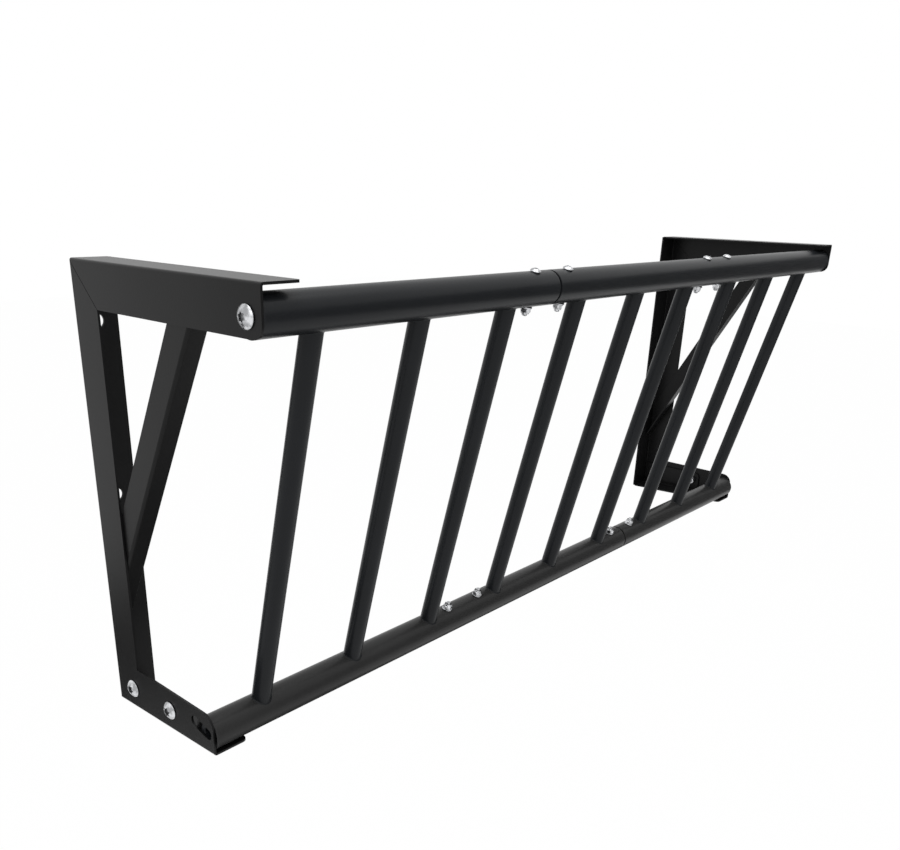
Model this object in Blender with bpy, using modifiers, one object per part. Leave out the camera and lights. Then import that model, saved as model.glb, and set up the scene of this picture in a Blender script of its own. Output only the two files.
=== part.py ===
"""Wall-mounted hay feeder: two bent-steel brackets carry a barred grille that tilts on its two top bolts.

Metres. X runs along the wall, the wall is the plane Y = 0, the front is -Y, and Z = 0 is the lowest edge.
"""

import math
from collections import namedtuple

import bmesh
import bpy
from mathutils import Matrix, Vector

# Overall sizes.
LENGTH = 1.5
HEIGHT = 0.6
TOP_ARM_DEPTH = 0.362
LOW_ARM_DEPTH = 0.228

# Fits: the gap between faces that touch, and the play of a bolt in its hole.
SEAT_GAP = 0.0003
HOLE_PLAY = 0.0004

# Brackets, bent from sheet into angle sections.
SHEET = 0.003
INNER_BEND = 0.001
FACE_WIDTH = 0.055
WALL_FLANGE = 0.055
TOP_FLANGE = 0.05
LOW_FLANGE = 0.0525
LOW_ARM_HEIGHT = 0.066
LOW_ARM_RISE = 0.0103
TOP_ARM_CORNER = 0.014
LOW_ARM_CORNER = 0.02
FLANGE_CORNER = 0.008
WALL_HOLE_RADIUS = 0.0085
WALL_HOLE_MARGIN = 0.075

# Brace, an angle section behind the post and the top arm.
BRACE_WIDTH = 0.036
BRACE_FLANGE = 0.025
BRACE_REACH = 0.215
BRACE_FOOT = 0.255
BRACE_TOP_MARGIN = 0.03

# Foot plate, a flat bar inside each foot that the low arm is bolted to.
FOOT_THICKNESS = 0.004
FOOT_HEIGHT = 0.038
FOOT_OVERHANG = 0.018
FOOT_CORNER = 0.01
FOOT_BOLT_START = 0.182 * LOW_ARM_DEPTH
FOOT_BOLT_PITCH = 0.397 * LOW_ARM_DEPTH
FOOT_BOLT_HEIGHT = 0.0305

# Grille: two rails of three tube sections each, joined by round bars.
RAIL_RADIUS = 0.0228
RAIL_WALL = 0.003
TOP_RAIL_SETBACK = 0.023
TOP_RAIL_DROP = 0.0337
LOW_RAIL_SETBACK = 0.017
SECTIONS = 3
SEAM_GAP = 0.0012
BARS_PER_SECTION = 3
BAR_RADIUS = 0.013
BAR_WALL = 0.002
END_PLUG_THICKNESS = 0.008
SLEEVE_WALL = 0.003
SLEEVE_END_MARGIN = 0.022
SPLICE_OFFSET = 0.038

# Tilt: the grille swings on its top bolts as far as the arc slots of the low arms let it.
TILT_RANGE = math.radians(2.5)
SLOT_LEAD = math.radians(0.45)
SLOT_RISE = 0.0035
SLOT_HALF_WIDTH = 0.008

# Bolts and nuts: a large size on the brackets, with star recesses, and a small one at the splices.
Fastener = namedtuple("Fastener", "radius head_radius head_height nut_flats nut_height sides")
LARGE = Fastener(
    radius=0.006, head_radius=0.0125, head_height=0.007, nut_flats=0.019, nut_height=0.01, sides=16
)
SMALL = Fastener(
    radius=0.004, head_radius=0.0075, head_height=0.0045, nut_flats=0.013, nut_height=0.0065, sides=12
)
BOLT_END = 0.003
RECESS_RADIUS = 0.0052
RECESS_DEPTH = 0.0038

# How many flat facets a round form gets.
RAIL_SIDES = 32
BAR_SIDES = 24
HOLE_SIDES = 24
BEND_STEPS = 4
CORNER_STEPS = 6
DOME_STEPS = 4

# Places worked out from the sizes above.
RISE_ANGLE = math.atan2(LOW_ARM_RISE, LOW_ARM_DEPTH)
TOP_RAIL_Y = TOP_RAIL_SETBACK - TOP_ARM_DEPTH
TOP_RAIL_Z = HEIGHT - TOP_RAIL_DROP
LOW_RAIL_Y = LOW_RAIL_SETBACK - LOW_ARM_DEPTH
LOW_RAIL_Z = (SHEET + SEAT_GAP + RAIL_RADIUS) / math.cos(RISE_ANGLE) - LOW_RAIL_Y * math.tan(RISE_ANGLE)
PIVOT = Vector((0.0, TOP_RAIL_Y, TOP_RAIL_Z))
LOW_AXIS = Vector((0.0, LOW_RAIL_Y, LOW_RAIL_Z))
GRILLE_UP = (PIVOT - LOW_AXIS).normalized()
GRILLE_SPAN = (PIVOT - LOW_AXIS).length
RAIL_INNER_RADIUS = RAIL_RADIUS - RAIL_WALL
RAIL_START = -LENGTH / 2 + SHEET + SEAT_GAP
SECTION_PITCH = -2 * RAIL_START / SECTIONS
INSIDE = SHEET + SEAT_GAP
CORNER_CLEAR = SHEET + INNER_BEND

# A turned piece's axis is Z and a flat outline lies in XY. These turn them to where they are used.
FACE_ALONG_X = Matrix(((0, 0, 1), (1, 0, 0), (0, 1, 0)))


def clear_scene():
    for old in list(bpy.data.objects):
        bpy.data.objects.remove(old)


def make_collection(name):
    collection = bpy.data.collections.new(name)
    bpy.context.scene.collection.children.link(collection)
    return collection


def make_material(name, colour, roughness, metallic):
    material = bpy.data.materials.new(name)
    material.use_nodes = True
    shader = material.node_tree.nodes["Principled BSDF"]
    shader.inputs["Base Color"].default_value = (*colour, 1.0)
    shader.inputs["Roughness"].default_value = roughness
    shader.inputs["Metallic"].default_value = metallic
    material.diffuse_color = (*colour, 1.0)
    return material


def add_part(name, mesh, material, parent, place, turn=None):
    """One named object of the feeder, set at a world place and turned by a 3 x 3 matrix."""
    part = bpy.data.objects.new(name, mesh)
    PARTS.objects.link(part)
    if not mesh.materials:
        mesh.materials.append(material)
    part.parent = parent
    part.location = Vector(place) - parent.location
    if turn is not None:
        part.rotation_euler = turn.to_euler()
    return part


def add_empty(name, place):
    empty = bpy.data.objects.new(name, None)
    empty.location = place
    PARTS.objects.link(empty)
    return empty


def add_cutter(name, mesh, place, turn):
    cutter = bpy.data.objects.new(name, mesh)
    CUTTERS.objects.link(cutter)
    cutter.location = place
    cutter.rotation_euler = turn.to_euler()
    cutter.hide_render = True
    cutter.display_type = "WIRE"
    return cutter


def cut(part, cutter):
    modifier = part.modifiers.new("cut_" + cutter.name, "BOOLEAN")
    modifier.operation = "DIFFERENCE"
    modifier.object = cutter


def turn_to(direction):
    """The turn that takes a turned piece's axis, Z, to a direction."""
    return Vector((0, 0, 1)).rotation_difference(Vector(direction)).to_matrix()


def circle(radius, sides):
    return [
        (radius * math.cos(2 * math.pi * i / sides), radius * math.sin(2 * math.pi * i / sides))
        for i in range(sides)
    ]


def arc(centre, radius, start, end, steps):
    """Points of an arc, angles in radians, both ends included."""
    return [
        (
            centre[0] + radius * math.cos(start + (end - start) * i / steps),
            centre[1] + radius * math.sin(start + (end - start) * i / steps),
        )
        for i in range(steps + 1)
    ]


def evaluated_mesh(source, name):
    """A plain mesh of an object as its curve or modifiers make it. The object is removed."""
    bpy.context.view_layer.update()
    graph = bpy.context.evaluated_depsgraph_get()
    mesh = bpy.data.meshes.new_from_object(source.evaluated_get(graph))
    mesh.name = name
    bpy.data.objects.remove(source)
    return mesh


def outline_mesh(name, outlines, thickness):
    """A flat outline in XY, with any holes as further outlines, from Z = 0 to its thickness."""
    curve = bpy.data.curves.new(name, "CURVE")
    curve.dimensions = "2D"
    curve.fill_mode = "BOTH"
    curve.extrude = thickness / 2
    for outline in outlines:
        spline = curve.splines.new("POLY")
        spline.points.add(len(outline) - 1)
        spline.use_cyclic_u = True
        for point, (x, y) in zip(spline.points, outline):
            point.co = (x, y, 0.0, 1.0)
    guide = bpy.data.objects.new(name, curve)
    CUTTERS.objects.link(guide)
    mesh = evaluated_mesh(guide, name)
    bpy.data.curves.remove(curve)
    shape = bmesh.new()
    shape.from_mesh(mesh)
    bmesh.ops.remove_doubles(shape, verts=shape.verts, dist=1e-6)
    bmesh.ops.translate(shape, verts=shape.verts, vec=(0, 0, thickness / 2))
    bmesh.ops.recalc_face_normals(shape, faces=shape.faces)
    shape.to_mesh(mesh)
    shape.free()
    return mesh


def turned_mesh(name, profile, sides, closed):
    """A profile of (radius, height) points, run down its outer side, turned about Z with a Screw modifier."""
    mesh = bpy.data.meshes.new(name)
    ends = [(i, i + 1) for i in range(len(profile) - 1)]
    if closed:
        ends.append((len(profile) - 1, 0))
    mesh.from_pydata([(radius, 0.0, height) for radius, height in profile], ends, [])
    guide = bpy.data.objects.new(name, mesh)
    CUTTERS.objects.link(guide)
    screw = guide.modifiers.new("turn", "SCREW")
    screw.steps = sides
    screw.render_steps = sides
    screw.use_merge_vertices = True
    screw.merge_threshold = 1e-6
    result = evaluated_mesh(guide, name)
    bpy.data.meshes.remove(mesh)
    return result


def tube_mesh(name, radius, wall, length, sides):
    """An open tube from Z = 0 to its length."""
    inner = radius - wall
    return turned_mesh(name, [(radius, length), (radius, 0.0), (inner, 0.0), (inner, length)], sides, True)


def rod_mesh(name, radius, length, sides):
    """A solid rod from Z = 0 to its length."""
    return turned_mesh(name, [(0.0, length), (radius, length), (radius, 0.0), (0.0, 0.0)], sides, False)


def shade_round(mesh):
    mesh.shade_smooth()
    mesh.set_sharp_from_angle(angle=math.radians(40))


def angle_mesh(name, plate, flange, length, hand):
    """A bent angle section along Z: its plate runs along +Y and its flange along X, to the side of hand."""
    outer = SHEET + INNER_BEND
    section = [(0.0, plate)]
    section += arc((outer, outer), outer, math.pi, 1.5 * math.pi, BEND_STEPS)
    section += [(flange, 0.0), (flange, SHEET)]
    section += arc((outer, outer), INNER_BEND, 1.5 * math.pi, math.pi, BEND_STEPS)
    section += [(SHEET, plate)]
    return outline_mesh(name, [[(hand * x, y) for x, y in section]], length)


def trim(part, point, normal):
    """Cuts a part's mesh at a world plane and closes it. What lies on the normal's side goes."""
    bpy.context.view_layer.update()
    to_local = part.matrix_world.inverted()
    shape = bmesh.new()
    shape.from_mesh(part.data)
    bmesh.ops.bisect_plane(
        shape,
        geom=shape.verts[:] + shape.edges[:] + shape.faces[:],
        dist=1e-7,
        plane_co=to_local @ Vector(point),
        plane_no=to_local.to_3x3() @ Vector(normal),
        clear_outer=True,
    )
    bmesh.ops.holes_fill(shape, edges=[edge for edge in shape.edges if edge.is_boundary])
    bmesh.ops.recalc_face_normals(shape, faces=shape.faces)
    shape.to_mesh(part.data)
    shape.free()


def round_corner(part, point, along, radius):
    """Rounds the edges of a part's mesh that run along a world direction through a world point."""
    bpy.context.view_layer.update()
    to_local = part.matrix_world.inverted()
    centre = to_local @ Vector(point)
    line = (to_local.to_3x3() @ Vector(along)).normalized()
    shape = bmesh.new()
    shape.from_mesh(part.data)
    chosen = [
        edge
        for edge in shape.edges
        if all((vert.co - centre).cross(line).length < SHEET / 4 for vert in edge.verts)
    ]
    bmesh.ops.bevel(shape, geom=chosen, offset=radius, segments=CORNER_STEPS, profile=0.5, affect="EDGES")
    shape.to_mesh(part.data)
    shape.free()


def foot_bolt_places():
    """Where the two foot bolts go, as (y, z): at one height over the low arm's rising edge."""
    ys = (-FOOT_BOLT_START, -FOOT_BOLT_START - FOOT_BOLT_PITCH)
    return [(y, FOOT_BOLT_HEIGHT + LOW_ARM_RISE * -y / LOW_ARM_DEPTH) for y in ys]


def add_post(side, parent):
    x = side * LENGTH / 2
    turn = Matrix(((1, 0, 0), (0, -1, 0), (0, 0, -1)))
    mesh = angle_mesh("post", FACE_WIDTH, WALL_FLANGE, HEIGHT, -side)
    post = add_part(NAMES[side] + "_post", mesh, STEEL, parent, (x, 0, HEIGHT), turn)
    top_mitre = Vector((0, -1, 1)).normalized()
    trim(post, Vector((0, 0, HEIGHT)) - top_mitre * SEAT_GAP / 2, top_mitre)
    low_mitre = Vector((0, -LOW_ARM_HEIGHT, -FACE_WIDTH)).normalized()
    trim(post, -low_mitre * SEAT_GAP / 2, low_mitre)
    for number, z in enumerate((HEIGHT - WALL_HOLE_MARGIN, HEIGHT / 2)):
        mesh = rod_mesh("wall_hole", WALL_HOLE_RADIUS, 4 * SHEET, HOLE_SIDES)
        place = (x - side * WALL_FLANGE / 2, -SHEET * 2.5, z)
        cut(post, add_cutter(f"{NAMES[side]}_wall_hole_{number}", mesh, place, turn_to((0, 1, 0))))


def add_top_arm(side, parent):
    x = side * LENGTH / 2
    turn = Matrix(((1, 0, 0), (0, 0, 1), (0, -1, 0)))
    mesh = angle_mesh("top_arm", FACE_WIDTH, TOP_FLANGE, TOP_ARM_DEPTH, -side)
    arm = add_part(NAMES[side] + "_top_arm", mesh, STEEL, parent, (x, -TOP_ARM_DEPTH, HEIGHT), turn)
    mitre = Vector((0, 1, -1)).normalized()
    trim(arm, Vector((0, 0, HEIGHT)) - mitre * SEAT_GAP / 2, mitre)
    round_corner(arm, (x, -TOP_ARM_DEPTH, HEIGHT - FACE_WIDTH), (1, 0, 0), TOP_ARM_CORNER)
    round_corner(arm, (x - side * TOP_FLANGE, -TOP_ARM_DEPTH, HEIGHT), (0, 0, 1), FLANGE_CORNER / 2)
    add_bolt_hole(arm, side, "pivot", TOP_RAIL_Y, TOP_RAIL_Z)


def add_low_arm(side, parent):
    x = side * LENGTH / 2
    along = Vector((0, -math.cos(RISE_ANGLE), math.sin(RISE_ANGLE)))
    up = Vector((0, math.sin(RISE_ANGLE), math.cos(RISE_ANGLE)))
    turn = Matrix(((1, 0, 0), up, along)).transposed()
    mesh = angle_mesh("low_arm", LOW_ARM_HEIGHT * 1.2, LOW_FLANGE, LOW_ARM_DEPTH * 1.2, -side)
    arm = add_part(NAMES[side] + "_low_arm", mesh, STEEL, parent, (x, 0, 0), turn)
    trim(arm, (0, 0, LOW_ARM_HEIGHT), (0, 0, 1))
    trim(arm, (0, -LOW_ARM_DEPTH, 0), (0, -1, 0))
    mitre = Vector((0, LOW_ARM_HEIGHT, FACE_WIDTH)).normalized()
    trim(arm, -mitre * SEAT_GAP / 2, mitre)
    round_corner(arm, (x, -LOW_ARM_DEPTH, LOW_ARM_HEIGHT), (1, 0, 0), LOW_ARM_CORNER)
    front = Vector((x - side * LOW_FLANGE, -LOW_ARM_DEPTH, LOW_ARM_RISE))
    round_corner(arm, front, (0, 0, 1), FLANGE_CORNER)
    for number, (y, z) in enumerate(foot_bolt_places()):
        add_bolt_hole(arm, side, f"foot_{number}", y, z)
    cut(arm, add_slot_cutter(side))


def add_bolt_hole(part, side, name, y, z):
    """A cutter for a large bolt's hole through a bracket face, and through what is bolted behind it."""
    mesh = rod_mesh("bolt_hole", LARGE.radius + HOLE_PLAY, 6 * SHEET, HOLE_SIDES)
    place = (side * (LENGTH / 2 + SHEET) - 3 * SHEET, y, z)
    cut(part, add_cutter(f"{NAMES[side]}_{name}_hole", mesh, place, turn_to((1, 0, 0))))


def add_slot_cutter(side):
    """The arc slot about the top bolt, which the low rail's end passes as the grille tilts."""
    rest = math.atan2(LOW_RAIL_Z - TOP_RAIL_Z, LOW_RAIL_Y - TOP_RAIL_Y)
    near, far = rest - SLOT_LEAD, rest + TILT_RANGE
    centre = (TOP_RAIL_Y, TOP_RAIL_Z)
    radius = GRILLE_SPAN - SLOT_RISE
    outline = arc(centre, radius + SLOT_HALF_WIDTH, near, far, CORNER_STEPS)
    for angle, turn in ((far, 0), (near, math.pi)):
        end = (centre[0] + radius * math.cos(angle), centre[1] + radius * math.sin(angle))
        outline += arc(end, SLOT_HALF_WIDTH, angle + turn, angle + turn + math.pi, 2 * CORNER_STEPS)[1:]
        if turn == 0:
            outline += arc(centre, radius - SLOT_HALF_WIDTH, far, near, CORNER_STEPS)[1:]
    mesh = outline_mesh("arc_slot", [outline[:-1]], 4 * SHEET)
    place = (side * (LENGTH / 2 + SHEET) - 2 * SHEET, 0, 0)
    return add_cutter(NAMES[side] + "_arc_slot", mesh, place, FACE_ALONG_X)


def add_brace(side, parent):
    """The diagonal, set behind the faces of the post and the top arm, its flange along its lower edge."""
    high = Vector((0, -BRACE_REACH, HEIGHT - FACE_WIDTH))
    low = Vector((0, -FACE_WIDTH, BRACE_FOOT))
    along = (high - low).normalized()
    across = Vector((0, along.z, -along.y))
    turn = Matrix(((1, 0, 0), across, along)).transposed()
    start = low - across * BRACE_WIDTH / 2 - along * 2 * FACE_WIDTH * along.z / -along.y
    start.x = side * (LENGTH / 2 - INSIDE)
    reach = (high - low).length * 2
    mesh = angle_mesh("brace", BRACE_WIDTH, BRACE_FLANGE, reach, -side)
    brace = add_part(NAMES[side] + "_brace", mesh, STEEL, parent, start, turn)
    trim(brace, (0, -CORNER_CLEAR, 0), (0, 1, 0))
    trim(brace, (0, 0, HEIGHT - BRACE_TOP_MARGIN), (0, 0, 1))


def add_foot(side, parent):
    """The foot plate with the two bolts and nuts that hold the low arm to it."""
    bolts = foot_bolt_places()
    middle = (bolts[0][1] + bolts[1][1]) / 2
    front = bolts[1][0] - FOOT_OVERHANG
    low, high = middle - FOOT_HEIGHT / 2, middle + FOOT_HEIGHT / 2
    outline = [(-CORNER_CLEAR, high)]
    outline += arc((front + FOOT_CORNER, high - FOOT_CORNER), FOOT_CORNER, math.pi / 2, math.pi, CORNER_STEPS)
    outline += arc((front + FOOT_CORNER, low + FOOT_CORNER), FOOT_CORNER, math.pi, 1.5 * math.pi, CORNER_STEPS)
    outline += [(-CORNER_CLEAR, low)]
    holes = [
        [(y + u, z + v) for u, v in circle(LARGE.radius + HOLE_PLAY, HOLE_SIDES)]
        for y, z in bolts
    ]
    mesh = outline_mesh("foot_plate", [outline, *holes], FOOT_THICKNESS)
    x = side * (LENGTH / 2 - INSIDE) - (FOOT_THICKNESS if side > 0 else 0)
    add_part(NAMES[side] + "_foot_plate", mesh, STEEL, parent, (x, 0, 0), FACE_ALONG_X)
    grip = SHEET + FOOT_THICKNESS + 2 * SEAT_GAP
    for number, (y, z) in enumerate(bolts):
        place = Vector((side * (LENGTH / 2 + SEAT_GAP), y, z))
        name = f"{NAMES[side]}_foot_{number + 1}"
        add_fastener(name, LARGE, grip, place, Vector((side, 0, 0)), parent)


def star(radius):
    """The outline of a six-lobed driver recess."""
    points = []
    for number in range(6):
        middle = math.pi * number / 3
        lobe = (0.78 * radius * math.cos(middle), 0.78 * radius * math.sin(middle))
        points += arc(lobe, 0.22 * radius, middle - 1.2, middle + 1.2, 3)
    return points


def bolt_mesh(name, size, length, recessed):
    """A button-head bolt: the head's seat is Z = 0 and its shank runs down. Its head may have a star recess."""
    rim = size.head_height * 0.2
    dome = size.head_height - rim
    ball = (size.head_radius**2 + dome**2) / (2 * dome)
    sweep = math.asin(size.head_radius / ball)
    profile = []
    for step in range(DOME_STEPS + 1):
        angle = sweep * step / DOME_STEPS
        profile.append((ball * math.sin(angle), size.head_height - ball * (1 - math.cos(angle))))
    profile += [(size.head_radius, 0.0), (size.radius, 0.0), (size.radius, -length), (0.0, -length)]
    mesh = turned_mesh(name, profile, size.sides, False)
    if recessed:
        blank = bpy.data.objects.new(name, mesh)
        CUTTERS.objects.link(blank)
        recess = outline_mesh("recess", [star(RECESS_RADIUS)], size.head_height)
        place = (0, 0, size.head_height - RECESS_DEPTH)
        cut(blank, add_cutter(f"recess_{len(CUTTERS.objects)}", recess, place, Matrix.Identity(3)))
        mesh = evaluated_mesh(blank, name)
    shade_round(mesh)
    return mesh


def nut_mesh(name, size):
    """A hexagon nut that starts at Z = 0."""
    corner = size.nut_flats / math.sqrt(3)
    outlines = [circle(corner, 6), circle(size.radius + SEAT_GAP, size.sides)]
    return outline_mesh(name, outlines, size.nut_height)


def add_fastener(name, size, grip, place, out, parent):
    """A bolt whose head seat is at a place and faces out, with its nut on the far side of the grip."""
    length = grip + 2 * SEAT_GAP + size.nut_height + BOLT_END
    mesh = bolt_mesh("bolt", size, length, size is LARGE)
    add_part(name + "_bolt", mesh, ZINC, parent, place, turn_to(out))
    seat = place - out * (grip + 2 * SEAT_GAP)
    add_part(name + "_nut", nut_mesh("nut", size), ZINC, parent, seat, turn_to(-out))


def add_bracket(side):
    parent = add_empty(NAMES[side] + "_bracket", (side * LENGTH / 2, 0, 0))
    add_post(side, parent)
    add_top_arm(side, parent)
    add_low_arm(side, parent)
    add_brace(side, parent)
    add_foot(side, parent)


def add_rail(name, axis, out, parent):
    """One rail: three tube sections with a sleeve and two through bolts at each seam, and a plug at each end."""
    seams = [RAIL_START + SECTION_PITCH * number for number in range(1, SECTIONS)]
    starts = [RAIL_START] + [seam + SEAM_GAP / 2 for seam in seams]
    ends = [seam - SEAM_GAP / 2 for seam in seams] + [-RAIL_START]
    sections = []
    for number, (start, end) in enumerate(zip(starts, ends)):
        mesh = tube_mesh("rail", RAIL_RADIUS, RAIL_WALL, end - start, RAIL_SIDES)
        shade_round(mesh)
        place = axis + Vector((start, 0, 0))
        label = f"{name}_rail_{number + 1}"
        sections.append(add_part(label, mesh, STEEL, parent, place, turn_to((1, 0, 0))))
    for number, seam in enumerate(seams):
        half = SPLICE_OFFSET + SLEEVE_END_MARGIN
        radius = RAIL_INNER_RADIUS - SEAT_GAP
        mesh = tube_mesh("sleeve", radius, SLEEVE_WALL, 2 * half, RAIL_SIDES)
        shade_round(mesh)
        place = axis + Vector((seam - half, 0, 0))
        sleeve = add_part(f"{name}_sleeve_{number + 1}", mesh, STEEL, parent, place, turn_to((1, 0, 0)))
        for which, section in enumerate(sections[number : number + 2]):
            centre = axis + Vector((seam + (2 * which - 1) * SPLICE_OFFSET, 0, 0))
            label = f"{name}_splice_{2 * number + which + 1}"
            hole = rod_mesh("splice_hole", SMALL.radius + HOLE_PLAY, 3 * RAIL_RADIUS, SMALL.sides)
            cutter = add_cutter(label + "_hole", hole, centre - out * 1.5 * RAIL_RADIUS, turn_to(out))
            cut(section, cutter)
            cut(sleeve, cutter)
            head = centre + out * (RAIL_RADIUS + SEAT_GAP)
            add_fastener(label, SMALL, 2 * RAIL_RADIUS, head, out, parent)
    add_end_plugs(name, axis, parent)


def add_end_plugs(name, axis, parent):
    """The bored plug in each end of a rail, which the pivot bolt of the top arm screws into."""
    for side in NAMES:
        outer = circle(RAIL_INNER_RADIUS - SEAT_GAP, RAIL_SIDES)
        bore = circle(LARGE.radius + SEAT_GAP, HOLE_SIDES)
        mesh = outline_mesh("end_plug", [outer, bore], END_PLUG_THICKNESS)
        x = side * -RAIL_START - (END_PLUG_THICKNESS if side > 0 else 0)
        place = axis + Vector((x, 0, 0))
        add_part(f"{name}_rail_{NAMES[side]}_plug", mesh, STEEL, parent, place, FACE_ALONG_X)


def add_pivot_bolts(parent):
    """The two bolts that carry the grille: each passes a top arm and turns with the rail's end plug."""
    length = SHEET + 2 * SEAT_GAP + END_PLUG_THICKNESS + BOLT_END
    for side in NAMES:
        mesh = bolt_mesh("pivot_bolt", LARGE, length, True)
        place = PIVOT + Vector((side * (LENGTH / 2 + SEAT_GAP), 0, 0))
        add_part(NAMES[side] + "_pivot_bolt", mesh, ZINC, parent, place, turn_to((side, 0, 0)))


def coped_bar_mesh():
    """A tube from rail to rail, its ends hollowed to fit round both rails."""
    mesh = tube_mesh("bar", BAR_RADIUS, BAR_WALL, GRILLE_SPAN, BAR_SIDES)
    bar = bpy.data.objects.new("bar_guide", mesh)
    CUTTERS.objects.link(bar)
    for height in (0.0, GRILLE_SPAN):
        rail = rod_mesh("rail_space", RAIL_RADIUS + SEAT_GAP, 4 * BAR_RADIUS, RAIL_SIDES)
        place = (-2 * BAR_RADIUS, 0, height)
        cut(bar, add_cutter(f"rail_space_{len(CUTTERS.objects)}", rail, place, turn_to((1, 0, 0))))
    result = evaluated_mesh(bar, "bar")
    shade_round(result)
    return result


def add_bars(parent):
    """The grille's bars, spread evenly over each section, all from one coped tube."""
    mesh = coped_bar_mesh()
    count = SECTIONS * BARS_PER_SECTION
    pitch = SECTION_PITCH / BARS_PER_SECTION
    for number in range(count):
        x = RAIL_START + pitch * (number + 0.5)
        place = LOW_AXIS + Vector((x, 0, 0))
        add_part(f"bar_{number + 1}", mesh, STEEL, parent, place, turn_to(GRILLE_UP))


def add_grille():
    parent = add_empty("grille", PIVOT)
    add_rail("top", PIVOT, GRILLE_UP, parent)
    add_rail("low", LOW_AXIS, -GRILLE_UP, parent)
    add_bars(parent)
    add_pivot_bolts(parent)


clear_scene()
PARTS = make_collection("hay_feeder")
CUTTERS = make_collection("cutters")
STEEL = make_material("black_powder_coat", (0.03, 0.031, 0.033), 0.42, 0.0)
ZINC = make_material("bright_zinc", (0.72, 0.73, 0.74), 0.28, 1.0)
NAMES = {-1: "left", 1: "right"}
for bracket_side in NAMES:
    add_bracket(bracket_side)
add_grille()
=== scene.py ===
"""Looks of the wall-mounted hay feeder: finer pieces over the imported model, and its studio."""

import math

import bmesh
import bpy
from mathutils import Matrix, Vector


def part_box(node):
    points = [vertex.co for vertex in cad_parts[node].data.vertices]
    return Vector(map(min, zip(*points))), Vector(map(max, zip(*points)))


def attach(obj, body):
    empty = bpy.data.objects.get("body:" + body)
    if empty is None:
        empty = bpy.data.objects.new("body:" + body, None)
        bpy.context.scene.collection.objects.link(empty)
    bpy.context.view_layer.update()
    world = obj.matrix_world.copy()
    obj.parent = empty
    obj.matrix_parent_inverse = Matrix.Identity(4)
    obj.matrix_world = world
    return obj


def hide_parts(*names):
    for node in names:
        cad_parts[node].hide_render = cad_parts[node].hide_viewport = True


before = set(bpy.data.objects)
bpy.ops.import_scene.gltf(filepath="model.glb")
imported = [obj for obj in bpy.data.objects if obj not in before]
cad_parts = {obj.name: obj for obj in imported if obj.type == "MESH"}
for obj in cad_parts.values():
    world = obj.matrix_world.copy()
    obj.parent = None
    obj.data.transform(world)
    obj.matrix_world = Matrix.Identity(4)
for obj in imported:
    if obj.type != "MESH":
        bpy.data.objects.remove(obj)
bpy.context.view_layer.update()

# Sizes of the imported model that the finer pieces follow, in metres.
LENGTH = 1.5
HEIGHT = 0.6
RAIL_RADIUS = 0.0228
RAIL_WALL = 0.003
BAR_COUNT = 9
BAR_RADIUS = 0.013
BAR_WALL = 0.002
SEAT_GAP = 0.0003
FACE_WIDTH = 0.055
LOW_ARM_HEIGHT = 0.066
LOW_ARM_RUN = 0.228
LOW_ARM_RISE = 0.0103
BOLT_END = 0.003
LARGE = {
    "shank": 0.006, "head": 0.0125, "height": 0.007, "pitch": 0.00175,
    "flats": 0.019, "nut": 0.01, "washer": 0.0,
}
SMALL = {
    "shank": 0.004, "head": 0.0075, "height": 0.0045, "pitch": 0.00125,
    "flats": 0.013, "nut": 0.008, "washer": 0.0016,
}


def middle_of(node, x=0.0):
    """The middle of a node's box, moved along the feeder to x."""
    low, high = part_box(node)
    return Vector((x, (low.y + high.y) / 2, (low.z + high.z) / 2))


PIVOT = middle_of("top_rail_2")
LOW_AXIS = middle_of("low_rail_2")
GRILLE_UP = (PIVOT - LOW_AXIS).normalized()
GRILLE_SPAN = (PIVOT - LOW_AXIS).length
ALONG_X = Vector((1.0, 0.0, 0.0))


# Meshes.

SAME_POINT = 1e-6
SAME_PLANE = math.radians(0.6)
SAME_NORMAL = 0.9999
SMOOTH_ANGLE = 30


def turn_to(direction):
    """The turn that brings the Z axis round to a direction."""
    return Vector((0, 0, 1)).rotation_difference(Vector(direction)).to_matrix().to_4x4()


def linked(name, data):
    """A new object in the scene."""
    item = bpy.data.objects.new(name, data)
    bpy.context.scene.collection.objects.link(item)
    return item


def shape_of(*meshes):
    """A bmesh that holds all of the meshes."""
    shape = bmesh.new()
    for mesh in meshes:
        shape.from_mesh(mesh)
    return shape


def mesh_of(shape, name):
    """The mesh of a bmesh; the bmesh itself goes."""
    mesh = bpy.data.meshes.new(name)
    shape.to_mesh(mesh)
    shape.free()
    return mesh


def ring_mesh(name, rings, closed):
    """A mesh from rings of points, each ring a list of the same length or one single point."""
    shape = bmesh.new()
    made = [[shape.verts.new(point) for point in ring] for ring in rings]
    pairs = list(zip(made, made[1:]))
    if closed:
        pairs.append((made[-1], made[0]))
    for first, second in pairs:
        count = max(len(first), len(second))
        for i in range(count):
            j = (i + 1) % count
            if len(first) == 1:
                shape.faces.new((first[0], second[i], second[j]))
            elif len(second) == 1:
                shape.faces.new((first[j], first[i], second[0]))
            else:
                shape.faces.new((first[j], first[i], second[i], second[j]))
    bmesh.ops.recalc_face_normals(shape, faces=shape.faces)
    return mesh_of(shape, name)


def shape_ring(radius_at, height_at, sides):
    """A ring whose radius follows the angle, and whose height follows the radius and angle."""
    points = []
    for i in range(sides):
        angle = 2 * math.pi * i / sides
        radius = radius_at(angle)
        x, y = radius * math.cos(angle), radius * math.sin(angle)
        points.append((x, y, height_at(radius, angle)))
    return points


def round_ring(radius, height, sides):
    return shape_ring(lambda angle: radius, lambda r, angle: height, sides)


def turned(name, profile, sides):
    """A closed solid about the Z axis, from the radius and height of its corners."""
    return ring_mesh(name, [round_ring(radius, height, sides) for radius, height in profile], True)


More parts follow.
